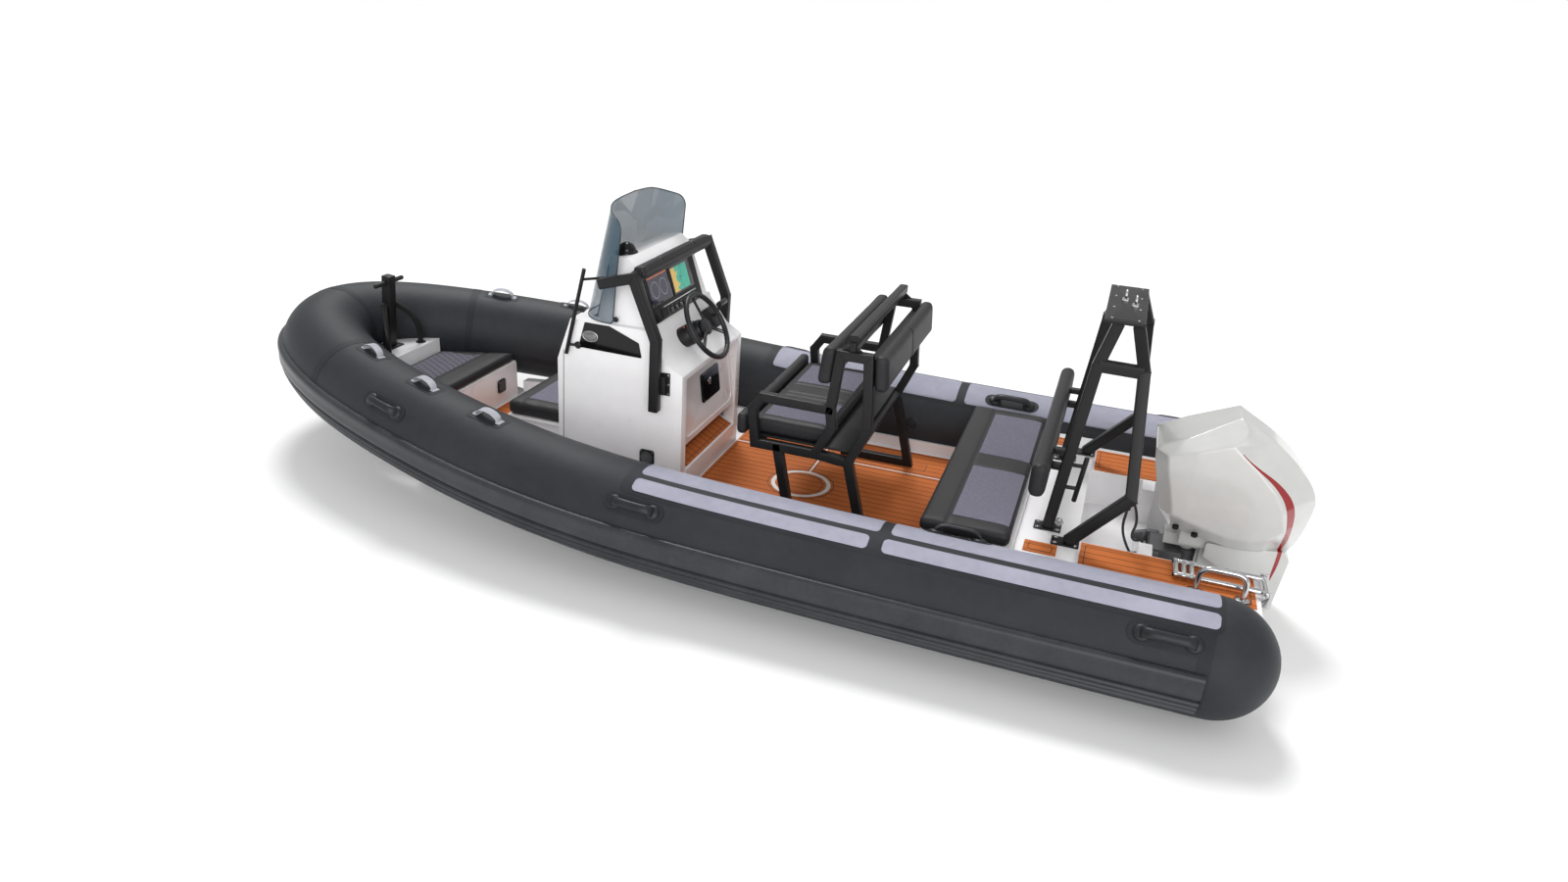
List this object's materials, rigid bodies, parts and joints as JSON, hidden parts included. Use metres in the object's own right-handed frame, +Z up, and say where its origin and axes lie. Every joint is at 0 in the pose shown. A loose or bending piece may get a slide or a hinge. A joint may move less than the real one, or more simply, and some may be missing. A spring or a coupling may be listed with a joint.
{
  "type": "rigid inflatable boat",
  "caption": "Rigid inflatable boat with a centre console, raked windscreen, leaning helm seat, aft bench, towing A-frame and an outboard motor.",
  "frame": {"origin": "on the centreline at the transom, at the height of the waterline", "axes": "+X forward to the bow, +Y to port, +Z up"},
  "size_m": [5.6568, 2.492, 2.349],
  "materials": {
    "collar_fabric": "matt coated fabric",
    "rubber": "matt",
    "strap_webbing": "woven",
    "gelcoat": "polished gelcoat",
    "foam_deck": "brushed foam",
    "upholstery": "grained vinyl",
    "black_coated_metal": "satin powder coat",
    "stainless": "polished",
    "black_plastic": "satin",
    "lamp_lens": "clear",
    "tinted_glass": "tinted",
    "motor_paint": "gloss",
    "grey_metal": "satin",
    "cast_metal": "cast",
    "hose_rubber": "matt"
  },
  "bodies": {
    "boat": {"a_frame": "black_coated_metal", "aft_deck": "gelcoat", "bench_backrest": "upholstery", "bench_box": "gelcoat", "bow_locker": "gelcoat", "bow_post": "black_coated_metal", "bow_tube": "collar_fabric", "compass": "black_plastic", "console": "gelcoat", "console_grab_frame": "black_coated_metal", "dash_panel": "black_plastic", "deck_coverings": "foam_deck", "deck_liner": "gelcoat", "displays": "black_plastic", "front_seat_box": "gelcoat", "gloss_panels": "black_plastic", "grab_hoop": "stainless", "grab_roll": "upholstery", "helm_backrest": "upholstery", "helm_bolster": "upholstery", "helm_boss": "black_plastic", "helm_seat_cushion": "upholstery", "helm_seat_pan": "black_coated_metal", "hull": "gelcoat", "inflation_valves": "rubber", "ladder_bracket": "stainless", "lower_rigging_hose": "hose_rubber", "navigation_lights": "lamp_lens", "outboard_bracket": "grey_metal", "port_seat_frame": "black_coated_metal", "port_tube": "collar_fabric", "rear_backrest": "upholstery", "rub_strakes": "rubber", "seat_handrail": "black_coated_metal", "speakers": "black_plastic", "starboard_seat_frame": "black_coated_metal", "starboard_tube": "collar_fabric", "strap_loops": "strap_webbing", "throttle": "black_plastic", "tow_rings": "stainless", "tube_handles": "rubber", "upper_rigging_hose": "hose_rubber", "windscreen": "tinted_glass", "windscreen_rail": "black_coated_metal"},
    "steering_wheel": {"steering_wheel": "black_plastic"},
    "glovebox_flap": {"glovebox_door": "black_plastic"},
    "bow_lid": {"bow_locker_lid": "gelcoat", "bow_cushion": "upholstery"},
    "front_seat": {"front_seat_lid": "gelcoat", "front_seat_cushion": "upholstery"},
    "bench_seat": {"bench_lid": "gelcoat", "bench_cushion": "upholstery"},
    "ladder": {"boarding_ladder": "stainless"},
    "tilt_bracket": {"outboard_swivel": "motor_paint"},
    "outboard": {"outboard_cowl": "motor_paint", "outboard_engine": "cast_metal", "outboard_midsection": "motor_paint", "outboard_gearcase": "motor_paint"},
    "propeller": {"propeller": "grey_metal"}
  },
  "joints": [
    {"name": "outboard_tilt", "type": "hinge", "parent": "boat", "child": "tilt_bracket", "pos_m": [-0.03, 0, 0.205], "axis": [0, 1, 0], "range_deg": [0, 40]},
    {"name": "outboard_steer", "type": "hinge", "parent": "tilt_bracket", "child": "outboard", "pos_m": [-0.17, 0, 0.1], "axis": [0, 0, 1], "range_deg": [-28, 28]},
    {"name": "propeller_spin", "type": "hinge", "parent": "outboard", "child": "propeller", "pos_m": [-0.53, 0, -0.578], "axis": [1, 0, 0], "continuous": true},
    {"name": "wheel_turn", "type": "hinge", "parent": "boat", "child": "steering_wheel", "pos_m": [2.293, 0.11, 0.986], "axis": [-0.8387, 0, 0.5446], "range_deg": [-560, 560]},
    {"name": "glovebox_open", "type": "hinge", "parent": "boat", "child": "glovebox_flap", "pos_m": [2.3144, -0.038, 0.5404], "axis": [0, -1, 0], "range_deg": [0, 90]},
    {"name": "bow_lid_open", "type": "hinge", "parent": "boat", "child": "bow_lid", "pos_m": [3.801, 0, 0.3698], "axis": [0, -1, 0], "range_deg": [0, 80]},
    {"name": "front_seat_open", "type": "hinge", "parent": "boat", "child": "front_seat", "pos_m": [3.385, 0, 0.3598], "axis": [0, 1, 0], "range_deg": [0, 85]},
    {"name": "bench_open", "type": "hinge", "parent": "boat", "child": "bench_seat", "pos_m": [0.579, 0, 0.4158], "axis": [0, -1, 0], "range_deg": [0, 70]},
    {"name": "ladder_swing", "type": "hinge", "parent": "boat", "child": "ladder", "pos_m": [-0.446, 0.53, 0.388], "axis": [0, -1, 0], "range_deg": [0, 255]}
  ],
  "couplings": [
    {"joint": "wheel_turn", "follows": "outboard_steer", "ratio": -20}
  ]
}
